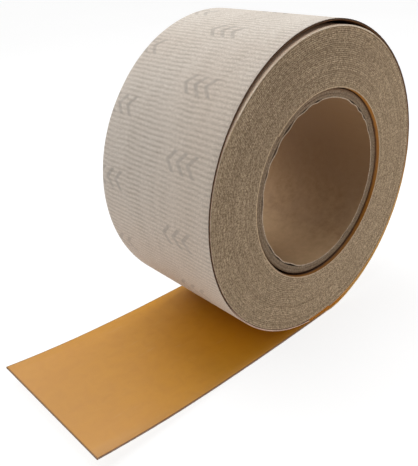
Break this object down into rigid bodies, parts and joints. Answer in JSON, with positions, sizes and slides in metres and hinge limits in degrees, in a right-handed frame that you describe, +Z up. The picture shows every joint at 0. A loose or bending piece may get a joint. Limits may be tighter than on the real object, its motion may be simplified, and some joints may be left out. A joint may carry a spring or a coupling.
{
  "type": "abrasive paper roll",
  "caption": "Wide roll of coated abrasive paper wound on a cardboard core, its outermost turn loose and a flexible tail of paper paid out flat in front.",
  "frame": {"origin": "middle of the core's bore, on its axis", "axes": "+Y along the core's axis, away from the face seen in front; the paid-out tail runs towards -X; +Z up from the surface that the roll lies on"},
  "size_m": [0.1988, 0.0717, 0.142],
  "materials": {
    "liner": "smooth kraft",
    "board": "raw grey board edge",
    "outer_kraft": "kraft",
    "pack": "cut edges of many turns",
    "backing": "ribbed matt backing",
    "coat": "satin stearate abrasive coat"
  },
  "bodies": {
    "outer_turn": {"outer_turn_backing": "backing", "outer_turn_coat": "coat"},
    "pack": {"wound_pack": "pack", "inner_turn_coat": "coat"},
    "core": {"core_inner_liner": "liner", "core_inner_board": "board", "core_outer_board": "board", "core_outer_ply": "outer_kraft"},
    "tail_1": {"tail_1_backing": "backing", "tail_1_coat": "coat"},
    "tail_2": {"tail_2_backing": "backing", "tail_2_coat": "coat"},
    "tail_3": {"tail_3_backing": "backing", "tail_3_coat": "coat"},
    "tail_4": {"tail_4_backing": "backing", "tail_4_coat": "coat"},
    "tail_5": {"tail_5_backing": "backing", "tail_5_coat": "coat"},
    "tail_6": {"tail_6_backing": "backing", "tail_6_coat": "coat"},
    "tail_7": {"tail_7_backing": "backing", "tail_7_coat": "coat"},
    "tail_8": {"tail_8_backing": "backing", "tail_8_coat": "coat"},
    "tail_9": {"tail_9_backing": "backing", "tail_9_coat": "coat"}
  },
  "joints": [
    {"name": "roll_turn", "type": "hinge", "parent": "outer_turn", "child": "pack", "pos_m": [0, 0, 0], "axis": [0, 1, 0], "continuous": true},
    {"name": "core_shift", "type": "slide", "parent": "pack", "child": "core", "axis": [0, 1, 0], "range_m": [-0.003, 0.003]},
    {"name": "tail_bend_1", "type": "hinge", "parent": "outer_turn", "child": "tail_1", "pos_m": [-0.0068, 0, -0.0697], "axis": [0, 1, 0], "range_deg": [0, 10.95]},
    {"name": "tail_bend_2", "type": "hinge", "parent": "tail_1", "child": "tail_2", "pos_m": [-0.0204, 0, -0.0697], "axis": [0, 1, 0], "range_deg": [0, 10.45]},
    {"name": "tail_bend_3", "type": "hinge", "parent": "tail_2", "child": "tail_3", "pos_m": [-0.034, 0, -0.06958], "axis": [0, 1, 0], "range_deg": [0, 10.45]},
    {"name": "tail_bend_4", "type": "hinge", "parent": "tail_3", "child": "tail_4", "pos_m": [-0.0476, 0, -0.06934], "axis": [0, 1, 0], "range_deg": [0, 10.45]},
    {"name": "tail_bend_5", "type": "hinge", "parent": "tail_4", "child": "tail_5", "pos_m": [-0.06119, 0, -0.06899], "axis": [0, 1, 0], "range_deg": [0, 9.95]},
    {"name": "tail_bend_6", "type": "hinge", "parent": "tail_5", "child": "tail_6", "pos_m": [-0.07478, 0, -0.06839], "axis": [0, 1, 0], "range_deg": [0, 10.45]},
    {"name": "tail_bend_7", "type": "hinge", "parent": "tail_6", "child": "tail_7", "pos_m": [-0.08836, 0, -0.06768], "axis": [0, 1, 0], "range_deg": [0, 9.45]},
    {"name": "tail_bend_8", "type": "hinge", "parent": "tail_7", "child": "tail_8", "pos_m": [-0.10192, 0, -0.06662], "axis": [0, 1, 0], "range_deg": [0, 9.45]},
    {"name": "tail_bend_9", "type": "hinge", "parent": "tail_8", "child": "tail_9", "pos_m": [-0.11544, 0, -0.06519], "axis": [0, 1, 0], "range_deg": [0, 9.45]}
  ],
  "couplings": [
    {"joint": "tail_bend_2", "follows": "tail_bend_1", "ratio": 0.9543},
    {"joint": "tail_bend_3", "follows": "tail_bend_1", "ratio": 0.9543},
    {"joint": "tail_bend_4", "follows": "tail_bend_1", "ratio": 0.9543},
    {"joint": "tail_bend_5", "follows": "tail_bend_1", "ratio": 0.9086},
    {"joint": "tail_bend_6", "follows": "tail_bend_1", "ratio": 0.9543},
    {"joint": "tail_bend_7", "follows": "tail_bend_1", "ratio": 0.863},
    {"joint": "tail_bend_8", "follows": "tail_bend_1", "ratio": 0.863},
    {"joint": "tail_bend_9", "follows": "tail_bend_1", "ratio": 0.863}
  ]
}
